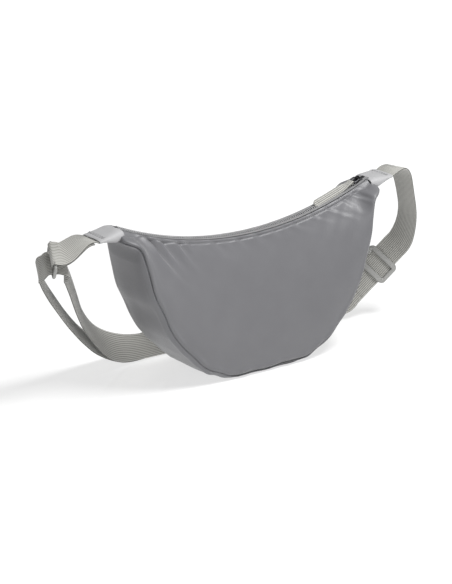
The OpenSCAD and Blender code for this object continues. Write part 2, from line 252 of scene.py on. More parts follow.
def shell_fabric(name, low, high, rough, pitch=0.55 * MM):
    """Smooth coated polyester: a fine plain weave with a soft sheen and faint mottling; the colour is slightly
    darker between the threads, as painted shade.
    """
    mat, tree, shader = nodes_of(name)
    uv, u, v = cloth_uv(tree)
    warp = thread(tree, u, pitch)
    weft = thread(tree, v, pitch)
    weave = math_node(tree, "MULTIPLY", warp, weft)
    cloud = noise(tree, uv, 38.0)
    grain = noise(tree, uv, 900.0, 2.0)
    # the colour mixes real random mottling with painted shade: slightly darker where the weave dips between
    # threads
    shade = weighted(tree, (cloud, 0.75), (weave, 0.25))
    tree.links.new(mixed(tree, shade, low, high), shader.inputs["Base Color"])
    rough_out = math_node(tree, "ADD", math_node(tree, "MULTIPLY", grain, 0.12), rough - 0.06)
    tree.links.new(rough_out, shader.inputs["Roughness"])
    height = weighted(tree, (weave, 1.0), (grain, 0.6))
    bumped(tree, shader, height, 0.05 * MM, 0.5)
    shader.inputs["Sheen Weight"].default_value = 0.25
    shader.inputs["Sheen Roughness"].default_value = 0.4
    shader.inputs["Specular IOR Level"].default_value = 0.5
    return mat


def webbing_fabric(name, low, high):
    """Ribbed webbing: lengthwise ribs with a slanting twill thread on each; its colour is painted darker in
    the hollows between ribs and threads, as painted shade.
    """
    mat, tree, shader = nodes_of(name)
    uv, u, v = cloth_uv(tree)
    rib = thread(tree, u, WEB_W / RIBS)
    slant = math_node(tree, "ADD", v, math_node(tree, "MULTIPLY", u, 0.8))
    twill = thread(tree, slant, 0.8 * MM)
    fuzz = noise(tree, uv, 1400.0, 2.0)
    painted_twill_shade = math_node(tree, "ADD", math_node(tree, "MULTIPLY", twill, 0.35), 0.65)
    # painted shade: the colour follows the ribs and twill, dark in their hollows and light on their tops, with
    # a little real fuzz
    shade = weighted(tree, (math_node(tree, "MULTIPLY", rib, painted_twill_shade), 0.85), (fuzz, 0.2))
    tree.links.new(mixed(tree, shade, low, high), shader.inputs["Base Color"])
    height = weighted(tree, (rib, 0.7), (twill, 0.5), (fuzz, 0.3))
    bumped(tree, shader, height, 0.12 * MM, 0.7)
    shader.inputs["Roughness"].default_value = 0.8
    shader.inputs["Sheen Weight"].default_value = 0.35
    shader.inputs["Sheen Roughness"].default_value = 0.5
    shader.inputs["Specular IOR Level"].default_value = 0.25
    return mat


def solid_material(name, low, high, rough, metallic=0.0):
    """Moulded plastic, metal or thread: mottled in its own object space, with fine grain."""
    mat, tree, shader = nodes_of(name)
    place = tree.nodes.new("ShaderNodeTexCoord").outputs["Object"]
    cloud = noise(tree, place, 90.0)
    fine = noise(tree, place, 700.0, 2.0)
    tree.links.new(mixed(tree, cloud, low, high), shader.inputs["Base Color"])
    rough_out = math_node(tree, "ADD", math_node(tree, "MULTIPLY", fine, 0.16), rough - 0.08)
    tree.links.new(rough_out, shader.inputs["Roughness"])
    bumped(tree, shader, fine, 0.03 * MM, 0.4)
    shader.inputs["Metallic"].default_value = metallic
    return mat


CLOTH = shell_fabric("bag_cloth", (0.112, 0.112, 0.119), (0.138, 0.138, 0.146), rough=0.47)
# painted light: the tabs are the same grey polyester as the bag, but this copy of the cloth is made much
# lighter to stand in for the top light falling on them
PAINTED_LIGHT_TAB_CLOTH = shell_fabric("painted_light_tab_cloth", (0.31, 0.31, 0.316), (0.38, 0.38, 0.386), rough=0.66)
LINING = shell_fabric("lining_cloth", (0.06, 0.06, 0.064), (0.09, 0.09, 0.095), rough=0.75, pitch=0.7 * MM)
# the low colour is the painted shade in the hollows between ribs; the high colour is the ribs' tops
WEBBING = webbing_fabric("webbing", (0.045, 0.045, 0.04), (0.49, 0.485, 0.455))
TAPE = shell_fabric("zip_tape", (0.17, 0.17, 0.173), (0.23, 0.23, 0.233), rough=0.8, pitch=0.8 * MM)
COIL = solid_material("zip_coil", (0.33, 0.33, 0.335), (0.40, 0.40, 0.405), 0.42)
METAL = solid_material("zip_metal", (0.035, 0.035, 0.038), (0.07, 0.07, 0.075), 0.34, metallic=0.85)
PLASTIC = solid_material("strap_plastic", (0.24, 0.24, 0.23), (0.29, 0.29, 0.28), 0.5)
THREAD = solid_material("thread", (0.20, 0.20, 0.205), (0.30, 0.30, 0.305), 0.6)


# ------------------------------------------------------------------ camera, light and floor
def make_camera():
    azimuth, elevation = math.radians(-36.6), math.radians(18.2)
    target = Vector((-24 * MM, 0, 84.2 * MM))
    distance = 2.3
    back = Vector((math.sin(azimuth) * math.cos(elevation),
                   -math.cos(azimuth) * math.cos(elevation), math.sin(elevation)))
    cam = bpy.data.objects.new("camera", bpy.data.cameras.new("camera"))
    cam.data.lens = 133.4
    cam.data.sensor_width = 36
    cam.location = target + back * distance
    cam.rotation_mode = "QUATERNION"
    cam.rotation_quaternion = (-back).to_track_quat("-Z", "Y")
    cam.data.clip_start = 0.05
    bpy.context.scene.collection.objects.link(cam)
    bpy.context.scene.camera = cam


def area_light(name, place, aim, size, power):
    data = bpy.data.lights.new(name, "AREA")
    data.shape = "RECTANGLE"
    data.size, data.size_y = size
    data.energy = power
    lamp = bpy.data.objects.new(name, data)
    lamp.location = place
    lamp.rotation_mode = "QUATERNION"
    lamp.rotation_quaternion = (Vector(aim) - Vector(place)).to_track_quat("-Z", "Y")
    bpy.context.scene.collection.objects.link(lamp)


def make_studio():
    scene = bpy.context.scene
    scene.view_settings.view_transform = "Standard"
    world = bpy.data.worlds.new("studio")
    world.use_nodes = True
    world.node_tree.nodes["Background"].inputs[0].default_value = (1, 1, 1, 1)
    world.node_tree.nodes["Background"].inputs[1].default_value = 0.26
    scene.world = world
    area_light("top", (0.3, -0.55, 1.5), (0, 0, 0.1), (0.7, 0.45), 30)
    area_light("key", (-1.0, -1.7, 0.45), (0, 0, 0.1), (0.9, 0.8), 12)
    mat, tree, shader = nodes_of("floor")
    place = tree.nodes.new("ShaderNodeTexCoord").outputs["Object"]
    tree.links.new(mixed(tree, noise(tree, place, 3.0), (0.42, 0.42, 0.42), (0.46, 0.46, 0.46)),
                   shader.inputs["Base Color"])
    shader.inputs["Emission Color"].default_value = (1, 1, 1, 1)
    away = add(tree, "ShaderNodeVectorMath", operation="LENGTH")
    tree.links.new(place, away.inputs[0])
    glow = tree.nodes.new("ShaderNodeMapRange")
    tree.links.new(away.outputs["Value"], glow.inputs["Value"])
    for socket, value in (("From Min", 0.3), ("From Max", 1.6), ("To Min", 0.62), ("To Max", 1.0)):
        glow.inputs[socket].default_value = value
    tree.links.new(glow.outputs[0], shader.inputs["Emission Strength"])
    shader.inputs["Roughness"].default_value = 0.1
    shader.inputs["Specular IOR Level"].default_value = 0.8
    side, z = 6.0, -0.3 * MM
    corners = [(-side, -side, z), (side, -side, z), (side, side, z), (-side, side, z)]
    floor = mesh_piece("floor", corners, [(0, 1, 2, 3)], mat)


make_camera()
make_studio()

# ------------------------------------------------------------------ the strap's route, in millimetres
BAR_T = 3.0
WEB_GAP = 0.5
RING_PITCH = 15.0
CLEAR = 0.8
WRAP_R = BAR_T / 2 + CLEAR + WEB_T / MM / 2
RING_AT = np.array([-235.0, 5.0, 163.0])
RING_BAR = unit([-33, -78, -53])
RING_DOWN = square_to([13, 52, -84], RING_BAR)
RING_OUT = np.cross(RING_DOWN, RING_BAR)
RING_LOW = RING_AT + RING_DOWN * RING_PITCH
ADJ_AT = np.array([219.0, 38.0, 60.0])
ADJ_RUN = unit([-67, 21, -66])
ADJ_WIDE = square_to([48, -61, -63], ADJ_RUN)
ADJ_OUT = np.cross(ADJ_WIDE, ADJ_RUN)
CORE_R = 1.3
CORE_WRAP = CORE_R + 0.25 + WEB_T / MM / 2
CORE_N = WEB_T / MM + 0.3 + CORE_WRAP
DOUBLE_N = 2 * WEB_T / MM + 0.6


def on_run(u, n):
    return (ADJ_AT + ADJ_RUN * u + ADJ_OUT * n, ADJ_WIDE)


def round_bar(mid, degrees):
    a = math.radians(degrees)
    return (mid + (RING_DOWN * math.sin(a) + RING_OUT * math.cos(a)) * WRAP_R, RING_BAR)


def by_bar(mid, outside, below):
    return (mid + RING_OUT * outside + RING_DOWN * below, RING_BAR)


MAIN_ROWS = [
    ([194, 0, 180], [0, -10, 0]), ([203, 0, 184], [0, -10, 0]), ([213, 1, 184], [0, -98, 10]),
    ([223, 4, 173], [-3, -95, 25]), ([233, 8, 149], [-8, -92, 25]), ([241, 13, 126], [0, -98, 5]),
    ([244, 19, 106], [12, -95, -10]), ([243, 26, 89], [33, -82, -38]),
    on_run(-26, 0), on_run(-14, 0), on_run(4, 0), on_run(22, 0), on_run(40, 0), on_run(50, 0), on_run(58, 0),
    ([158, 55, 16], [25, -35, -90]), ([132, 59, 16], [6, -16, -98]), ([96, 62, 16], [0, -5, -99]),
    ([60, 64, 16], [0, 0, -10]), ([0, 66, 16], [0, 10, -99]), ([-50, 68, 16], [0, 12, -99]),
    ([-85, 68, 17], [0, 5, -99]), ([-113, 66, 21], [-8, -15, -98]), ([-135, 62, 31], [-18, -50, -85]),
    ([-155, 56, 47], [-28, -72, -64]), ([-173, 49, 69], [-42, -78, -46]), ([-186, 41, 92], [-50, -75, -42]),
    ([-198, 33, 116], [-52, -74, -42]), ([-209, 26, 137], [-50, -75, -45]),
    by_bar(RING_LOW, -16, 2), by_bar(RING_LOW, -8, -WRAP_R + 0.6), round_bar(RING_LOW, -98)]
UPPER_ROWS = 12
RETURN_ROWS = [
    round_bar(RING_LOW, -82), by_bar(RING_LOW, 5, -WRAP_R + 1.5), by_bar(RING_LOW, 8, 4),
    ([-240, 27, 140], [-35, -80, -45]), ([-229, 32, 120], [-42, -83, -30]), ([-211, 40, 96], [-44, -84, -22]),
    ([-192, 49, 73], [-44, -84, -18]), ([-170, 59, 50], [-42, -84, -20]), ([-147, 69, 31], [-32, -82, -36]),
    ([-122, 76, 17], [-18, -82, -50]), ([-98, 81, 10.5], [-8, -78, -58]), ([-60, 82, 12.5], [0, -68, -72]),
    ([-20, 79, 15.5], [0, -40, -90]), ([20, 75, 16], [0, -10, -99]), ([60, 72, 16], [0, 0, -10]),
    ([96, 69, 16], [0, -5, -99]), ([130, 64, 16], [6, -16, -98]), ([156, 60, 17], [25, -35, -90]),
    on_run(57, DOUBLE_N + 0.3), on_run(48, DOUBLE_N), on_run(36, DOUBLE_N), on_run(21, DOUBLE_N)]
RING_WEB_ROWS = [
    ([-195.2, 0, 174], [0, -10, 0]), ([-206, 0.5, 174], [-6, -97, -12]), by_bar(RING_AT, -10, -WRAP_R - 0.3),
    round_bar(RING_AT, -90), round_bar(RING_AT, -45), round_bar(RING_AT, 0), round_bar(RING_AT, 45),
    round_bar(RING_AT, 90), by_bar(RING_AT, -10, -0.8),
    ([-206.6, 0.5, 171.6], [-8, -96, -14]), ([-197, 0, 171.9], [0, -10, 0])]
SEWN_ROWS = [
    on_run(20, DOUBLE_N), on_run(12, DOUBLE_N + 0.2), on_run(5, CORE_N + CORE_WRAP - 0.6),
    on_run(0, CORE_N + CORE_WRAP), on_run(-CORE_WRAP * 0.7, CORE_N + CORE_WRAP * 0.7),
    on_run(-CORE_WRAP, CORE_N),
    on_run(-CORE_WRAP * 0.7, CORE_N - CORE_WRAP * 0.7), on_run(0, CORE_N - CORE_WRAP),
    on_run(5, CORE_N - CORE_WRAP), on_run(12, CORE_N - CORE_WRAP), on_run(20, CORE_N - CORE_WRAP)]


def smooth(points, n):
    """A Catmull-Rom curve through the points, n steps between each two."""
    m = len(points) - 1
    out = []
    for i in range(m):
        a, b, c, d = (points[max(i - 1, 0)], points[i], points[i + 1], points[min(i + 2, m)])
        for j in range(n):
            t = j / n
            out.append(0.5 * (2 * b + (c - a) * t + (2 * a - 5 * b + 4 * c - d) * t ** 2
                              + (3 * b - a - 3 * c + d) * t ** 3))
    out.append(points[m])
    return np.array(out)


def frames_along(rows, n):
    """Middle, across and up at each step of a band, in metres."""
    mid = smooth([np.array(r[0], float) for r in rows], n) * MM
    wide = smooth([unit(r[1]) for r in rows], n)
    ends = np.concatenate([mid[:1], mid, mid[-1:]])
    along = ends[2:] - ends[:-2]
    along /= np.linalg.norm(along, axis=1, keepdims=True)
    across = wide - np.sum(wide * along, axis=1, keepdims=True) * along
    across /= np.linalg.norm(across, axis=1, keepdims=True)
    return mid, across, np.cross(along, across)


def band_section():
    """Closed outline of the ribbed webbing, as (across, up) points."""
    rib_h = 0.26 * MM
    samples = 4
    half = WEB_W / 2
    n = RIBS * samples
    x = np.linspace(-half + 0.5 * MM, half - 0.5 * MM, n + 1)
    up = WEB_T / 2 - rib_h + rib_h * np.abs(np.sin(np.pi * np.arange(n + 1) / samples))
    edge = np.array([[half - 0.1 * MM, WEB_T * 0.3], [half, 0], [half - 0.1 * MM, -WEB_T * 0.3]])
    face = np.stack([x, up], 1)
    return np.concatenate([face, edge, face[::-1] * [1, -1], edge[::-1] * [-1, 1]])


def ribbed_band(name, mid, across, up, start=0.0):
    """Webbing along a row of frames; start is how far along the weave it begins."""
    outline = band_section()
    length = run_lengths(mid) + start
    verts = mid[:, None] + across[:, None] * outline[None, :, :1] + up[:, None] * outline[None, :, 1:]
    cols = len(outline)
    faces = grid_faces(len(mid), cols, closed=True)
    faces.append(tuple(range(cols - 1, -1, -1)))
    faces.append(tuple(range((len(mid) - 1) * cols, len(mid) * cols)))
    uvs = np.stack([np.tile(outline[:, 0] + WEB_W / 2, len(mid)), np.repeat(length, cols)], 1)
    return mesh_piece(name, verts.reshape(-1, 3), faces, WEBBING, uvs)


def capsule(p, q, radius):
    """Vertices and faces of one stitch: a short thread, thickest in its middle."""
    sides = 8
    profile = ((0.0, 0.35), (0.18, 0.9), (0.5, 1.0), (0.82, 0.9), (1.0, 0.35))
    p, q = np.asarray(p, float), np.asarray(q, float)
    d = unit(q - p)
    e = square_to([0.31, 0.52, 0.79], d)
    f = np.cross(d, e)
    verts = []
    for t, r in profile:
        for k in range(sides):
            a = 2 * math.pi * k / sides
            verts.append(p + (q - p) * t + (e * math.cos(a) + f * math.sin(a)) * radius * r)
    faces = grid_faces(len(profile), sides, closed=True)
    faces += [tuple(range(sides - 1, -1, -1)), tuple(range(len(verts) - sides, len(verts)))]
    return verts, faces


def stitches(name, pairs, radius):
    """One stitch between each pair of points."""
    verts, faces = [], []
    for p, q in pairs:
        v, f = capsule(p, q, radius)
        faces += [tuple(k + len(verts) for k in face) for face in f]
        verts += v
    return mesh_piece(name, verts, faces, THREAD)


def box_piece(name, centre, axes, size, radius, material, segments=3):
    """A box with rounded edges, lying along three axes."""
    bpy.ops.mesh.primitive_cube_add(size=1)
    obj = bpy.context.object
    obj.name = name
    obj.data.transform(Matrix.Diagonal((*size, 1)))
    bevel = obj.modifiers.new("round", "BEVEL")
    bevel.width = radius
    bevel.segments = segments
    obj = applied(obj)
    obj.data.transform(frame_matrix(centre, *axes))
    obj.data.polygons.foreach_set("use_smooth", [True] * len(obj.data.polygons))
    obj.data.materials.append(material)
    return obj


def swept(name, points, radius, material, sides, up, closed=False, squash=1.0):
    """A round bar or thread that follows points; squash flattens it along up."""
    points = np.asarray(points, float)
    m = len(points)
    if closed:
        along = np.roll(points, -1, 0) - np.roll(points, 1, 0)
    else:
        ends = np.concatenate([points[:1], points, points[-1:]])
        along = ends[2:] - ends[:-2]
    along /= np.linalg.norm(along, axis=1, keepdims=True)
    up = np.broadcast_to(np.asarray(up, float), points.shape)
    rise = up - np.sum(up * along, 1, keepdims=True) * along
    rise /= np.linalg.norm(rise, axis=1, keepdims=True)
    side = np.cross(along, rise)
    a = np.linspace(0, 2 * np.pi, sides, endpoint=False)
    r = np.broadcast_to(np.asarray(radius, float), (m,))[:, None, None]
    verts = points[:, None] + r * (side[:, None] * np.cos(a)[None, :, None]
                                   + rise[:, None] * np.sin(a)[None, :, None] * squash)
    faces = grid_faces(m, sides, closed=True)
    if closed:
        last = (m - 1) * sides
        faces += [(last + j, last + (j + 1) % sides, (j + 1) % sides, j) for j in range(sides)]
    else:
        faces += [tuple(range(sides - 1, -1, -1)), tuple(range((m - 1) * sides, m * sides))]
    return mesh_piece(name, verts.reshape(-1, 3), faces, material)


# ------------------------------------------------------------------ the strap
STEPS = 6


def polyline_length(points):
    return float(np.linalg.norm(np.diff(points, axis=0), axis=1).sum())


def make_strap():
    mid, across, up = frames_along(MAIN_ROWS, STEPS)
    cut = UPPER_ROWS * STEPS + 1
    upper = ribbed_band("strap_upper_webbing", mid[:cut], across[:cut], up[:cut])
    upper_l = polyline_length(mid[:cut])
    low_mid = mid[cut - 1:]
    lower = ribbed_band("strap_lower_webbing", low_mid, across[cut - 1:], up[cut - 1:], start=upper_l)
    lower_l = polyline_length(low_mid)
    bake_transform(upper)
    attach(lower, "strap")
    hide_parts("strap_main_run")
    tuple(mid[0])
    tuple(low_mid[0])
    back_mid, back_across, back_up = frames_along(RETURN_ROWS, STEPS)
    back = ribbed_band("strap_return_webbing", back_mid, back_across, back_up)
    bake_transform(back)
    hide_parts("strap_return_run")
    tuple(back_mid[0])
    polyline_length(back_mid)
    loop = ribbed_band("ring_loop_webbing", *frames_along(RING_WEB_ROWS, STEPS))
    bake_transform(loop)
    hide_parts("ring_webbing")
    sewn = ribbed_band("sewn_end_webbing", *frames_along(SEWN_ROWS, STEPS))
    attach(sewn, "adjuster")
    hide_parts("strap_sewn_end")


def bar_tack(name, mid, ex, ey, ez, width, height, turns, body):
    """A zigzag row of thread on a flat place: ex across it, ey along the webbing, ez out of it."""
    pairs = []
    for k in range(turns):
        x0, x1 = (-width / 2 + width * (k + e) / turns for e in (0, 1))
        y0, y1 = (height / 2, -height / 2) if k % 2 else (-height / 2, height / 2)
        pairs.append((mid + ex * x0 + ey * y0 + ez * 0.1 * MM, mid + ex * x1 + ey * y1 + ez * 0.1 * MM))
    piece = stitches(name, pairs, 0.26 * MM)
    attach(piece, body)
    return piece


def make_ring():
    ex, ey, ez = RING_BAR, RING_DOWN, np.cross(RING_BAR, RING_DOWN)
    inner = WEB_W / MM + 3
    half = inner / 2 + BAR_T / 2
    loop = rounded_loop(-half, half, 0, RING_PITCH, BAR_T * 0.75, 6)
    path = [(RING_AT + ex * x + ey * y) * MM for x, y, _ in loop]
    ring = swept("ring_body", path, BAR_T / 2 * MM, PLASTIC, sides=20, closed=True, up=ez)
    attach(ring, "strap_ring")
    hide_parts("strap_ring")
    parts = []
    size = ((BAR_T + 0.5) * MM, RING_PITCH * 0.8 * MM, (BAR_T + 0.3) * MM)
    for side in (-1, 1):
        place = (RING_AT + ex * side * half + ey * RING_PITCH / 2) * MM
        parts.append(box_piece("ring_rail", place, (ex, ey, ez), size, 1.2 * MM, PLASTIC, 4))
    rails = joined("ring_side_rails", parts)
    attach(rails, "strap_ring")


ADJ_L, ADJ_RAIL_W, ADJ_BAR_W = 28.0, 4.5, 6.4


def make_adjuster():
    axes = (ADJ_RUN, ADJ_WIDE, np.cross(ADJ_RUN, ADJ_WIDE))
    inner = WEB_W / MM + 1.4
    face_n = WEB_T / MM / 2 + WEB_GAP
    deep_n = CORE_N + CORE_R + 0.4

    def at(u, w, n):
        return (ADJ_AT + ADJ_RUN * u + ADJ_WIDE * w + ADJ_OUT * n) * MM

    outer = inner / 2 + ADJ_RAIL_W
    hu, hw = ADJ_L / 2 - ADJ_BAR_W / 2, outer - ADJ_RAIL_W / 2
    loop = rounded_loop(-hu, hu, -hw, hw, 4.0, 8)
    path = [at(u, w, -face_n - BAR_T / 2) for u, w, _ in loop]
    width = [ADJ_RAIL_W / 2 + (ADJ_BAR_W - ADJ_RAIL_W) / 2 * abs(math.cos(t)) for _, _, t in loop]
    parts = [swept("frame", path, np.array(width) * MM, PLASTIC, sides=24, closed=True,
                   squash=BAR_T / ADJ_BAR_W, up=ADJ_OUT)]
    rail = ((ADJ_L - 5) * MM, (ADJ_RAIL_W + 0.4) * MM, (deep_n + face_n + BAR_T / 2) * MM)
    for side in (-1, 1):
        w = side * ((inner + ADJ_RAIL_W) / 2 - 0.3)
        place = at(0, w, (deep_n - face_n - BAR_T / 2) / 2)
        parts.append(box_piece("rail", place, axes, rail, 1.9 * MM, PLASTIC, 5))
    for end in (-1, 1):
        u = end * (ADJ_L - ADJ_BAR_W) / 2
        parts.append(box_piece("end_bar", at(u, 0, -face_n - BAR_T / 2), axes,
                               (ADJ_BAR_W * MM, (inner + 1) * MM, BAR_T * MM), 1.4 * MM, PLASTIC, 5))
    core = [at(0, w, CORE_N) for w in np.linspace(-inner / 2 - 1, inner / 2 + 1, 15)]
    parts.append(swept("core", core, CORE_R * MM, PLASTIC, sides=20, up=ADJ_OUT))
    body = joined("adjuster_body", parts)
    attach(body, "adjuster")
    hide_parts("strap_adjuster")
    seam = bar_tack("sewn_end_bar_tack", (ADJ_AT + ADJ_RUN * 15 + ADJ_OUT * (DOUBLE_N + 1.0)) * MM,
                    ADJ_WIDE, ADJ_RUN, ADJ_OUT, 24 * MM, 3.4 * MM, 26, "adjuster")


# ------------------------------------------------------------------ the bag
def free_r(a):
    crown = HORN_H + (CROWN_H - HORN_H) * belly(a)
    return ZIP_R + crown


def belly(a):
    u = np.minimum(1, np.abs(a) / CROWN_ANGLE)
    power = np.where(a < 0, *OUTLINE_POW)
    return np.power(np.maximum(0, 1 - np.power(u, power)), OUTLINE_END_POW)


def seam_r(a):
    """The seam's radius, with the kinks where the horns and the base begin made soft."""
    fine = np.linspace(-ZIP_HALF * 1.2, ZIP_HALF * 1.2, 1201)
    r = np.minimum(free_r(fine), ZIP_CZ / np.cos(fine))
    spread = np.exp(-(np.linspace(-2, 2, 61)) ** 2)
    r = np.convolve(np.pad(r, 30, mode="edge"), spread / spread.sum(), "valid")
    tall = np.clip((r - ZIP_R - HORN_H) / 0.05, 0, 1)
    r = r + SEAM_WOBBLE * tall * seam_wave(fine * ZIP_CZ, 71, 0.030)
    return np.interp(a, fine, r)


def half_depth(a):
    u = np.power(np.minimum(1, np.abs(a) / ZIP_HALF), DEPTH_POW)
    return BAG_DEPTH / 2 * np.sqrt(1 - u) + HORN_DEPTH / 2 * u


def swell(s):
    return np.sin(SWELL_TURN * s)


def seam_reach(a):
    """How far to the side of the middle the gusset seam runs."""
    return half_depth(a) * math.sin(SWELL_TURN)


def panel_y(a, s):
    """How far a panel stands out: near the horns it keeps close to the zip before it swells."""
    near_end = np.clip((np.abs(a) / ZIP_HALF - 0.72) / 0.28, 0, 1)
    return ZIP_W / 2 + (half_depth(a) - ZIP_W / 2) * np.power(swell(s), 1 + 1.5 * near_end ** 1.5)


def at_arc(a, r, y):
    return np.stack([r * np.sin(a), y, ZIP_CZ - r * np.cos(a)], -1)


def bump_at(x, width):
    return np.exp(-(x / width) ** 2)


# the fan of large folds at each end, in millimetres: place, reach, height, width, and lean
FAN = ((146, 40, 2.9, 6.2, 1.2), (124, 32, 2.2, 5.0, 1.0), (100, 24, 1.4, 4.0, 0.8))


class Pucker:
    """Folds that fan down from the zip, each a ridge with a hollow beside it."""

    def __init__(self, seed, big_side):
        rng = np.random.default_rng(seed)
        self.folds = []
        last = 0.150
        x = -last
        while x < last:
            x += rng.uniform(0.011, 0.034)
            reach = rng.uniform(0.009, 0.017) * (1.3 if abs(x) > 0.09 else 1)
            self.folds.append((x, reach, rng.uniform(0.6, 1.9) * MM, rng.uniform(2.4, 4.6) * MM,
                               rng.uniform(0.3, 1.3)))
        for side in (-1, 1):
            strength = 1.7 if side == big_side else 0.3
            self.folds += [(side * place * MM, reach * MM, tall * MM * strength, wide * MM, -side * lean)
                           for place, reach, tall, wide, lean in FAN]

    def height(self, arc, down):
        """arc: distance along the zip; down: distance below it, both in metres."""
        out = np.zeros_like(arc)
        for x, reach, tall, wide, lean in self.folds:
            off = arc - x - lean * down
            grow = wide * (1 + 0.6 * down / reach)
            fade = np.clip(down / 0.004, 0, 1) * np.exp(-(down / reach) ** 2)
            out += tall * fade * (bump_at(off, grow) - 0.75 * bump_at(off - 1.55 * grow, grow * 1.1))
        return out


def soft_noise(seed, count, shortest, longest):
    """A smooth random field on the cloth, made of slow waves."""
    rng = np.random.default_rng(seed)
    full = 2 * np.pi
    waves = [(rng.uniform(0, full), full / rng.uniform(shortest, longest), rng.uniform(0, full))
             for _ in range(count)]

    def field(u, v):
        total = np.zeros_like(u)
        for turn, rate, phase in waves:
            total += np.sin(rate * (u * math.cos(turn) + v * math.sin(turn)) + phase)
        return total / count

    return field


def grid_normals(points):
    du = np.gradient(points, axis=0)
    dv = np.gradient(points, axis=1)
    n = np.cross(du, dv)
    size = np.linalg.norm(n, axis=2, keepdims=True)
    return n / np.maximum(size, 1e-12)


def calmed(field, rounds):
    """A grid field averaged with its neighbours, so that a push along it can't fold over."""
    for _ in range(rounds):
        wide = np.pad(field, ((1, 1), (1, 1), (0, 0)), mode="edge")
        field = (wide[:-2, 1:-1] + wide[2:, 1:-1] + wide[1:-1, :-2] + wide[1:-1, 2:] + 2 * field) / 6
    return field / np.linalg.norm(field, axis=2, keepdims=True)


def seam_wave(arc, seed, gap):
    """How far a seam puckers in and out along its length, from -1 to 1."""
    rng = np.random.default_rng(seed)
    total = np.zeros_like(arc)
    for _ in range(5):
        total += np.sin(2 * np.pi * arc / (gap * rng.uniform(0.7, 2.1)) + rng.uniform(0, 6.28))
    return total / 3


ANGLES = np.linspace(-ZIP_HALF, ZIP_HALF, 361)
TOP_STEPS = np.linspace(0, 0.06, 26)[:-1]
TOPSTITCH_DOWN = 3.4 * MM


def cloth_piece(name, points, uvs, material, thick=CLOTH_T):
    rows, cols = points.shape[:2]
    piece = mesh_piece(name, points.reshape(-1, 3), grid_faces(rows, cols), material, uvs.reshape(-1, 2))
    shell = piece.modifiers.new("cloth", "SOLIDIFY")
    shell.thickness = thick
    shell.offset = -1
    return applied(piece)


def make_panel(side, name, node, seed, big_side):
    s = np.concatenate([TOP_STEPS, np.linspace(0.06, 0.93, 88)[:-1], np.linspace(0.93, 1, 22)])
    a, s = np.meshgrid(ANGLES, s, indexing="ij")
    y = panel_y(a, s)
    height = seam_r(a) - ZIP_R
    arc, down = a * ZIP_R, s * height
    to_seam = (1 - s) * height
    points = at_arc(a, ZIP_R + height * s, side * y)
    out = calmed(grid_normals(points) * -side, 12)
    if np.sum(out[180, 60] * np.array([0, side, 0])) < 0:
        out = -out
    end_fade = np.clip((ZIP_HALF - np.abs(a)) * ZIP_R / 0.010, 0, 1)
    full = np.clip(height / 0.045, 0, 1)
    push = Pucker(seed, big_side).height(arc, down) * end_fade * np.clip(to_seam / 0.012, 0, 1)
    slow = soft_noise(seed + 3, 7, 0.05, 0.13)
    small = soft_noise(seed + 5, 9, 0.018, 0.04)
    middle = np.clip(down / 0.02, 0, 1) * np.clip(to_seam / 0.02, 0, 1) * full
    push += middle * (slow(arc, down) * 1.3 * MM + small(arc, down) * 0.22 * MM)
    # topstitch valley under the zip's edge, and the soft roll of the edge above it
    valley = -0.75 * bump_at(down - TOPSTITCH_DOWN, 1.0 * MM)
    push += (valley + 0.35 * bump_at(down - 1.6 * MM, 1.0 * MM)) * MM * end_fade
    pinch = seam_wave(arc, seed + 9, 0.016)
    push += 0.22 * MM * pinch * bump_at(down - 5.5 * MM, 3 * MM) * end_fade
    # the seam to the gusset: a rolled edge with a groove behind it
    edge_wave = seam_wave(arc * 1.5, seed + 11, 0.028)
    push += full * ((0.8 + 0.6 * edge_wave) * bump_at(to_seam - 5 * MM, 3.5 * MM)
                    - 1.9 * bump_at(to_seam, 1.8 * MM)) * MM
    points = points + out * push[..., None]
    points[..., 2] = np.maximum(points[..., 2] + seam_lift(a, to_seam), 0.25 * MM)
    points = add_zip_lip(points, side)
    lip_rows = points.shape[1] - s.shape[1]
    v = np.concatenate([np.tile((np.arange(-lip_rows, 0) * 0.8 * MM)[None], (len(ANGLES), 1)), down], 1)
    u = np.tile((ANGLES * (ZIP_R + 0.06))[:, None], (1, v.shape[1]))
    piece = cloth_piece(name, points if side < 0 else points[::-1], np.stack([u, v], -1), CLOTH)
    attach(piece, "bag")
    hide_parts(node)
    return points[:, lip_rows:], out


def add_zip_lip(points, side):
    """Folds the panel's top edge inward over the tape and back under itself."""
    a = ANGLES
    rows = []
    for dy, dr in ((-0.4, 2.3), (-1.0, 2.0), (-1.5, 1.5), (-1.5, 1.0), (-1.1, 0.6), (-0.5, 0.3)):
        y = side * (ZIP_W / 2 + dy * MM)
        rows.append(at_arc(a, np.full_like(a, ZIP_R + dr * MM), np.full_like(a, y)))
    return np.concatenate([np.stack(rows, 1), points], 1)


def seam_lift(a, to_seam):
    """How far the base's seams stand off the floor, with shallow scallops."""
    flat = np.clip((free_r(a) - ZIP_CZ / np.cos(a) + 5 * MM) / (6 * MM), 0, 1)
    scallop = 0.5 + 0.5 * seam_wave(a * ZIP_CZ, 46, 0.06)
    return flat * (2.4 + 1.8 * scallop) * MM * np.exp(-(to_seam / (11 * MM)) ** 2)


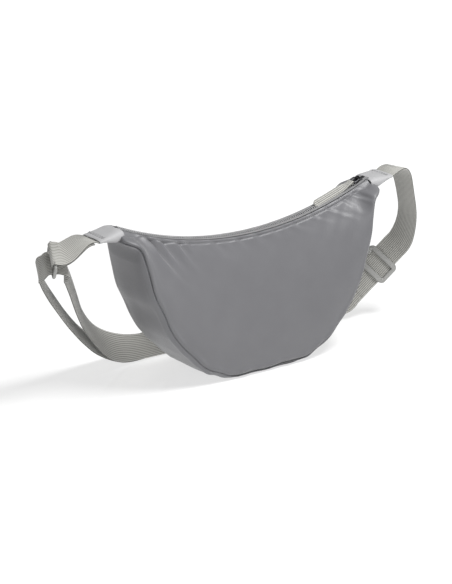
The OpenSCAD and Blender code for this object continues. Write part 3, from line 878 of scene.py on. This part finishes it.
def make_gusset():
    v = np.linspace(-1, 1, 61)
    a, v = np.meshgrid(ANGLES, v, indexing="ij")
    reach = seam_reach(a) - 0.2 * MM
    r = seam_r(a)
    tall = np.clip((r - ZIP_R - HORN_H) / 0.03, 0, 1)
    free = np.clip((ZIP_CZ / np.cos(a) - free_r(a)) / 0.006, 0, 1)
    to_seam = (1 - np.abs(v)) * reach
    arc = a * (ZIP_R + 0.08)
    high = np.clip((np.abs(a) / ZIP_HALF - 0.55) / 0.4, 0, 1)
    begun = np.clip((r - ZIP_R - HORN_H) / 0.010, 0, 1)
    bulge = ((3.6 - 3.6 * high) * tall + 7.5 * high * begun) * MM * (1 - v ** 4) ** 0.7 * free
    slow = soft_noise(31, 6, 0.05, 0.12)
    small = soft_noise(33, 8, 0.016, 0.035)
    dimples = slow(arc * 2, v * reach) * 0.7 + small(arc * 2, v * reach) * 0.18
    bulge += tall * free * np.clip(to_seam / 0.012, 0, 1) * dimples * MM
    wave = seam_wave(arc * 1.5, 36, 0.024)
    bulge += tall * free * (0.7 + 0.6 * wave) * MM * bump_at(to_seam - 4.5 * MM, 3 * MM)
    bulge -= 1.7 * MM * bump_at(to_seam, 1.8 * MM) * tall * free
    points = at_arc(a, r + bulge - 0.2 * MM, v * reach)
    points[..., 2] = np.maximum(points[..., 2] + seam_lift(a, to_seam * 1.5), 1.05 * MM)
    u = np.stack([arc, v * reach + 0.05], -1)
    piece = cloth_piece("gusset_cloth", points[::-1], u, CLOTH)
    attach(piece, "bag")
    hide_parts("bottom_gusset")


def seam_roll(side, name):
    """The two turned edges stitched together along the gusset seam, a soft scalloped roll."""
    a = np.linspace(-ZIP_HALF * 0.985, ZIP_HALF * 0.985, 420)
    reach = seam_reach(a)
    wave = seam_wave(a * ZIP_R * 1.6, 41 + side, 0.02)
    points = at_arc(a, seam_r(a) - (1.9 + 0.2 * wave) * MM, side * (reach - (1.6 - 0.2 * wave) * MM))
    points[:, 2] = np.maximum(points[:, 2] + seam_lift(a, 0 * a), 1.0 * MM)
    roll = swept(name, points, (0.8 + 0.12 * wave) * MM, CLOTH, sides=10, up=(0, 1, 0))
    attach(roll, "bag")


def stitch_row(name, line, first, spare, gap, length, radius):
    """Stitches along a line of points: the first one's place, the bare end, pitch, length and radius."""
    step = run_lengths(line)

    def at(d):
        return np.array([np.interp(d, step, line[:, k]) for k in range(3)])

    marks = np.arange(first, step[-1] - spare, gap)
    pieces = stitches(name, [(at(d), at(d + length)) for d in marks], radius)
    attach(pieces, "bag")
    return pieces


def topstitch(name, surface, out, row):
    """Stitches along one row of a panel, sunk a little in its valley."""
    gap = 2.6 * MM
    line = surface[:, row] + out[:, row] * 0.12 * MM
    return stitch_row(name, line, 4 * MM, 4 * MM, gap, gap * 0.74, 0.2 * MM)


def make_panels():
    valley = int(np.argmin(np.abs(TOP_STEPS * (CROWN_H - BASE_PRESS) - TOPSTITCH_DOWN)))
    for side, word, seed, big in ((-1, "front", 11, -1), (1, "back", 23, 0)):
        surface, out = make_panel(side, word + "_panel_cloth", word + "_panel", seed, big)
        line = topstitch(word + "_topstitch", surface, out, valley)
        seam_roll(side, word + "_seam_roll")


def lining_panel(name, node, side, inset, a_end, s0, s1, edge):
    a, s = np.meshgrid(np.linspace(-a_end, a_end, 90), np.linspace(s0, s1, 50), indexing="ij")
    y = np.maximum(panel_y(a, s) - inset, 2 * MM)
    points = at_arc(a, ZIP_R + (seam_r(a) - edge - ZIP_R) * s, side * y)
    wobble = soft_noise(51 + side, 8, 0.015, 0.05)
    points[..., 1] += 0.35 * MM * wobble(a * ZIP_R, s * 0.14) * np.sin(np.pi * (s - s0) / (s1 - s0))
    uvs = np.stack([a * ZIP_R, s * 0.14], -1)
    piece = cloth_piece(name, points if side < 0 else points[::-1], uvs, LINING, 0.6 * MM)
    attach(piece, "bag")
    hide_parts(node)


def make_linings():
    inset = CLOTH_T + 3 * MM
    end = ZIP_HALF * 0.77
    lining_panel("front_lining_cloth", "front_lining", -1, inset, end, 0.12, 1, inset)
    lining_panel("back_lining_cloth", "back_lining", 1, inset, end, 0.12, 1, inset)
    tall = CROWN_H - BASE_PRESS
    pocket_top, pocket_low = 22 * MM / tall, 84 * MM / tall
    lining_panel("pocket_cloth", "inner_pocket", 1, inset + 2.1 * MM, math.radians(8),
                 pocket_top, pocket_low, inset)
    make_gusset_lining(end, inset)
    make_bindings(end)


def make_gusset_lining(end, inset):
    a, v = np.meshgrid(np.linspace(-end, end, 120), np.linspace(-1, 1, 30), indexing="ij")
    reach = seam_reach(a) - inset - 0.9 * MM
    wobble = soft_noise(57, 8, 0.015, 0.05)
    r = seam_r(a) - inset - 0.3 * MM * (1 + wobble(a * ZIP_R, v * reach)) * (1 - v ** 2)
    piece = cloth_piece("gusset_lining_cloth", at_arc(a, r, v * reach)[::-1],
                        np.stack([a * ZIP_R, v * reach], -1), LINING, 0.6 * MM)
    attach(piece, "bag")
    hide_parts("gusset_lining")


def make_bindings(end):
    """The tapes that cover the raw seam edges inside the bag."""
    for side, word in ((-1, "front"), (1, "back")):
        a = np.linspace(-end, end, 160)
        place = at_arc(a, seam_r(a) - 2.3 * MM, side * (seam_reach(a) - 2.3 * MM))
        binding = swept(word + "_seam_tape", place, 0.95 * MM, LINING, sides=12, up=(0, 1, 0))
        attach(binding, "bag")
        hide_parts(word + "_seam_binding")


# ------------------------------------------------------------------ tabs where the webbing is sewn in
TAB_X, TAB_Z, TAB_L = 166.2, 178.0, 27.0
# each row in millimetres: how far along the tab, its width, its thickness and its lift
TAB_ROWS = ((-3, 30, 10.5, -3), (0, 32.6, 12.2, -3.2), (3, 33.6, 12.8, -3.1), (7, 33.9, 11.8, -2.7),
            (11, 33.7, 10, -2), (15, 33.5, 8.2, -1.3), (20, 33.5, 6.2, -0.5), (24.5, 33.5, 5, 0),
            (26.4, 33, 4.3, 0), (27, 32.2, 3.4, 0), (26.6, 31.4, 2.4, 0), (24.5, 31, 2.2, 0))


def make_tab(side, word, drop):
    """Cloth folded over the webbing's end and sewn flat; drop is how far it slopes down, in millimetres."""
    tilt = math.asin(drop / TAB_L)
    origin = np.array([side * TAB_X, 0, TAB_Z]) * MM
    ex = np.array([side * math.cos(tilt), 0, -math.sin(tilt)])
    ey = np.array([0, 1.0, 0])
    ez = unit(np.cross(ex, ey)) * side
    rows = np.array(TAB_ROWS) * [MM, MM / 2, MM / 2, MM]
    t = np.linspace(0, len(rows) - 1, 56)
    at = [np.interp(t, np.arange(len(rows)), column) for column in rows.T]
    n = 96
    turn = np.linspace(0, 2 * np.pi, n, endpoint=False)
    verts, uvs = [], []
    wave = soft_noise(61 + side, 8, 0.008, 0.02)
    for x, w, h, up in zip(*at):
        c, s = np.cos(turn), np.sin(turn)
        yy = w * np.sign(c) * np.abs(c) ** 0.45
        zz = h * np.sign(s) * np.abs(s) ** 0.85
        near = math.exp(-(x / 0.009) ** 2)
        zz = zz * (1 + near * 0.16 * wave(np.full(n, x * 0.4), yy + np.sign(s) * 0.1))
        valley = 0.25 * MM * math.exp(-((x - 0.0225) / 0.0011) ** 2)
        zz = zz - np.sign(zz) * valley
        verts.append(origin + ex * x + ey * yy[:, None] + ez * (zz + up)[:, None])
        uvs.append(np.stack([yy, np.full(n, x)], -1))
    verts, uvs = np.concatenate(verts), np.concatenate(uvs)
    faces = grid_faces(len(t), n, closed=True)
    if side > 0:
        faces = [f[::-1] for f in faces]
    # the tab wears the lighter copy of the bag cloth, whose extra lightness is painted light
    tab = mesh_piece(word + "_painted_light_tab_cloth", verts, faces, PAINTED_LIGHT_TAB_CLOTH, uvs)
    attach(tab, "bag")
    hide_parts(word + "_anchor_tab")
    top = origin + (ex * 20.5 + ez * 2.6) * MM
    tack = bar_tack(word + "_tab_bar_tack", top, ey, ex, ez, 28 * MM, 4.2 * MM, 14, "bag")
    rows = 12
    x = np.linspace(TAB_L - 13.7, TAB_L + 1.2, rows)[:, None] * MM
    end = ribbed_band(word + "_webbing_tail", origin + ex * x, np.tile(ey, (rows, 1)), np.tile(ez, (rows, 1)))
    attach(end, "bag")
    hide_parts(word + "_webbing_end")


# ------------------------------------------------------------------ the zip
def make_tape(side, word, y0):
    """One side's woven tape; y0 is how far from the middle it begins."""
    wide = ZIP_W / 2 - CLOTH_T - 0.3 * MM - y0
    a, w = np.meshgrid(np.linspace(-ZIP_HALF, ZIP_HALF, 300), np.linspace(0, 1, 14), indexing="ij")
    wave = soft_noise(71 + side, 6, 0.01, 0.03)
    r = ZIP_R + 0.12 * MM * wave(a * ZIP_R, w * 0.005) + 0.1 * MM
    points = at_arc(a, r, side * (y0 + wide * w))
    tape = cloth_piece(word + "_tape_cloth", points if side > 0 else points[::-1],
                       np.stack([a * ZIP_R, w * wide], -1), TAPE, 0.7 * MM)
    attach(tape, "bag")
    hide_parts(word + "_zip_tape")


def make_coil(side, word, y0):
    """One side's wound coil, and the stitches that hold it to the tape."""
    pitch, per = 2.4 * MM, 12
    end = ZIP_HALF - 3.3 * MM / ZIP_R
    turns = int(2 * end * ZIP_R / pitch)
    k = np.arange(turns * per + 1)
    phase = 2 * np.pi * k / per
    along = -end + 2 * end * k / (turns * per)
    y = side * (COIL_Y - 0.3 * MM + 1.15 * MM * np.cos(phase))
    line = at_arc(along, ZIP_R - 0.5 * MM - 0.95 * MM * np.sin(phase), y)
    coil = swept(word + "_coil_thread", line, 0.52 * MM, COIL, sides=8, up=(0, 1, 0))
    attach(coil, "bag")
    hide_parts(word + "_zip_coil")
    row = at_arc(np.linspace(-end, end, 300), ZIP_R - 0.25 * MM, np.full(300, side * (y0 + 0.7 * MM)))
    stitch_row(word + "_coil_stitches", row, 2 * MM, 3 * MM, 2.3 * MM, 1.7 * MM, 0.16 * MM)


def make_stops():
    stops = []
    for side in (-1, 1):
        a = side * (ZIP_HALF - STOP_L / 2 * MM / ZIP_R)
        origin, axes = zip_frame(a)
        stops.append(box_piece("stop", origin, axes, (2.6 * MM, 5.2 * MM, 2.0 * MM), 0.7 * MM, METAL))
    stop = joined("zip_stop_clips", stops)
    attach(stop, "bag")
    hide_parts("zip_end_stops")


def zip_frame(a):
    """A place on the zip's arc, with its axes: along the zip, across it and out of it."""
    ex, ey = np.array([math.cos(a), 0, math.sin(a)]), np.array([0, 1.0, 0])
    return at_arc(np.array(a), ZIP_R, 0 * a), (ex, ey, np.cross(ex, ey))


def make_zip():
    y0 = COIL_Y + COIL_R + 0.1 * MM
    for side, word in ((-1, "front"), (1, "back")):
        make_tape(side, word, y0)
        make_coil(side, word, y0)
    make_stops()


SLIDER_ANGLE = ZIP_HALF - (STOP_L + SLIDER_L / 2 + 1) * MM / ZIP_R - math.radians(0.1)
BAIL_L, BAIL_PIN_R, PULL_L, PULL_W = 8.5 * MM, 0.9 * MM, 54 * MM, 9 * MM
PIN_Z = (0.9 + 0.4 + 1.3 + 1.3) * MM


def make_slider():
    origin, (ex, ey, ez) = zip_frame(SLIDER_ANGLE)

    def at(x, y, z):
        return origin + ex * x + ey * y + ez * z

    def plate(name, z, thick):
        half = ((-5.5, 2.6), (-4.6, 3.7), (-2, 4.0), (1.5, 4.2), (4.2, 4.25), (5.3, 3.6), (5.5, 2.2))
        outline = [(x * MM, w * MM) for x, w in half]
        ring = outline + [(x, -w) for x, w in reversed(outline)]
        m = len(ring)
        verts = [at(x, y, z + dz) for dz in (-thick / 2, thick / 2) for x, y in ring]
        faces = [tuple(range(m)), tuple(range(2 * m - 1, m - 1, -1))]
        faces += [(k, k + m, (k + 1) % m + m, (k + 1) % m) for k in range(m)]
        piece = mesh_piece(name, verts, [f[::-1] for f in faces], METAL)
        bevel = piece.modifiers.new("round", "BEVEL")
        bevel.width = 0.4 * MM
        bevel.segments = 3
        bevel.limit_method = "ANGLE"
        return applied(piece)

    parts = [plate("upper", 1.95 * MM, 1.3 * MM), plate("lower", -1.95 * MM, 1.3 * MM)]
    post = (2.2 * MM, 1.2 * MM, 3.2 * MM)
    parts.append(box_piece("post", at(3.2 * MM, 0, 0), (ex, ey, ez), post, 0.3 * MM, METAL))
    arch = ((-3.4, 2.3), (-3.1, 3.9), (-2.2, 5.2), (-0.8, 6.0),
            (0.8, 6.0), (2.2, 5.2), (3.1, 3.9), (3.4, 2.3))
    bridge = smooth([at(x * MM, 0, z * MM) for x, z in arch], 3)
    parts.append(swept("bridge", bridge, 0.95 * MM, METAL, sides=14, squash=0.7, up=ey))
    for side in (-1, 1):
        rim = [at(x * MM, side * 3.7 * MM, 1.2 * MM) for x in np.linspace(-4.2, 4.6, 10)]
        parts.append(swept("rim", rim, 0.45 * MM, METAL, sides=10, up=ez))
    body = joined("slider_body", parts)
    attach(body, "zip_slider")
    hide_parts("zip_slider")
    make_bail(at, ez)
    make_pull(origin - ex * BAIL_L + ez * PIN_Z, ex, ey, ez)


def make_bail(at, ez):
    """A wire loop from the slider's bridge to the pull."""
    bail_w = PULL_W + 2.4 * MM + 0.6 * MM
    half = bail_w / 2 - BAIL_PIN_R
    path = [at(x, y, PIN_Z) for x, y, _ in rounded_loop(-BAIL_L, 0, -half, half, 1.6 * MM, 5)]
    bail = swept("bail_wire", path, BAIL_PIN_R * 0.95, METAL, sides=14, closed=True, up=ez)
    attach(bail, "zip_bail")
    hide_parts("zip_pull_bail")


def make_pull(eye, ex, ey, ez):
    """Webbing folded round the bail's far bar and sewn flat, with a rounded end."""
    lift = math.radians(4)
    px = ez * math.sin(lift) - ex * math.cos(lift)
    pz = unit(np.cross(ey, px))
    if np.dot(pz, ez) < 0:
        pz = -pz

    def rolled(xx):
        q = float(np.clip((xx - 3 * MM) / (16 * MM), 0, 1))
        turned = math.radians(55) * eased(q)
        return ey * math.cos(turned) + pz * math.sin(turned), pz * math.cos(turned) - ey * math.sin(turned)

    n = 60
    x = np.concatenate([np.linspace(-1.7, 3.4, 16)[:-1], np.linspace(3.4, PULL_L / MM - 0.2, 64)]) * MM
    round_end = np.sqrt(np.maximum(0.02, 1 - np.clip((x - 0.2 * MM) / (1.95 * MM), -1, 0) ** 2)) * 2.0 * MM
    ease = eased(np.clip((x - 0.5 * MM) / (3.5 * MM), 0, 1))
    tall = np.where(x > 0.2 * MM, 2.0 * MM + (1.05 * MM - 2.0 * MM) * ease, round_end)
    tip = np.clip((x - (PULL_L - PULL_W / 2)) / (PULL_W / 2), 0, 0.995)
    wide = (PULL_W / 2 - 0.1 * MM) * np.sqrt(1 - tip ** 2)
    bend = 0.9 * MM * np.sin(np.pi * np.clip(x / PULL_L, 0, 1))
    turn = np.linspace(0, 2 * np.pi, n, endpoint=False)
    verts, uvs = [], []
    for xx, ww, hh, bb in zip(x, wide, tall, bend):
        ry, rz = rolled(xx)
        c, s = np.cos(turn), np.sin(turn)
        yy = ww * np.sign(c) * np.abs(c) ** 0.5
        rib = 0.1 * MM * np.abs(np.sin(np.pi * yy / (1.5 * MM)))
        zz = np.sign(s) * np.abs(s) ** 0.45 * (hh + rib)
        dent = 0.22 * MM * (bump_at(xx - 6.0 * MM, 0.8 * MM) + bump_at(PULL_L - 5.4 * MM - xx, 0.8 * MM))
        zz = zz * (1 - dent / hh)
        verts.append(eye + px * xx + ry * yy[:, None] + rz * zz[:, None] - pz * bb * 0.35)
        uvs.append(np.stack([yy + PULL_W / 2, np.full(n, xx)], -1))
    verts, uvs = np.concatenate(verts), np.concatenate(uvs)
    faces = grid_faces(len(x), n, closed=True)
    faces += [tuple(range(n - 1, -1, -1)), tuple(range((len(x) - 1) * n, len(x) * n))]
    pull = mesh_piece("pull_webbing", verts, faces, WEBBING, uvs)
    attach(pull, "zip_pull")
    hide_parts("zip_pull_tab")
    pairs = []

    def on_pull(off, y, rise):
        ry, rz = rolled(off * MM)
        sag = 0.9 * MM * math.sin(math.pi * off * MM / PULL_L) * 0.35
        return eye + px * off * MM + ry * y * MM + rz * rise * MM - pz * sag

    for off in (6.0, PULL_L / MM - 5.4):
        pairs += [(on_pull(off, y, 0.98), on_pull(off, y + 1.2, 0.98)) for y in np.arange(-3.4, 2.6, 1.6)]
    marks = np.arange(7, PULL_L / MM - 7, 2.4)
    for y in (-3.6, 0.0, 3.6):
        pairs += [(on_pull(off, y, 1.1), on_pull(off + 1.7, y, 1.1)) for off in marks]
    seam = stitches("pull_stitches", pairs, 0.2 * MM)
    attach(seam, "zip_pull")


make_strap()
make_ring()
make_adjuster()
make_panels()
make_gusset()
make_linings()
make_tab(-1, "left", 5)
make_tab(1, "right", -2)
make_zip()
make_slider()
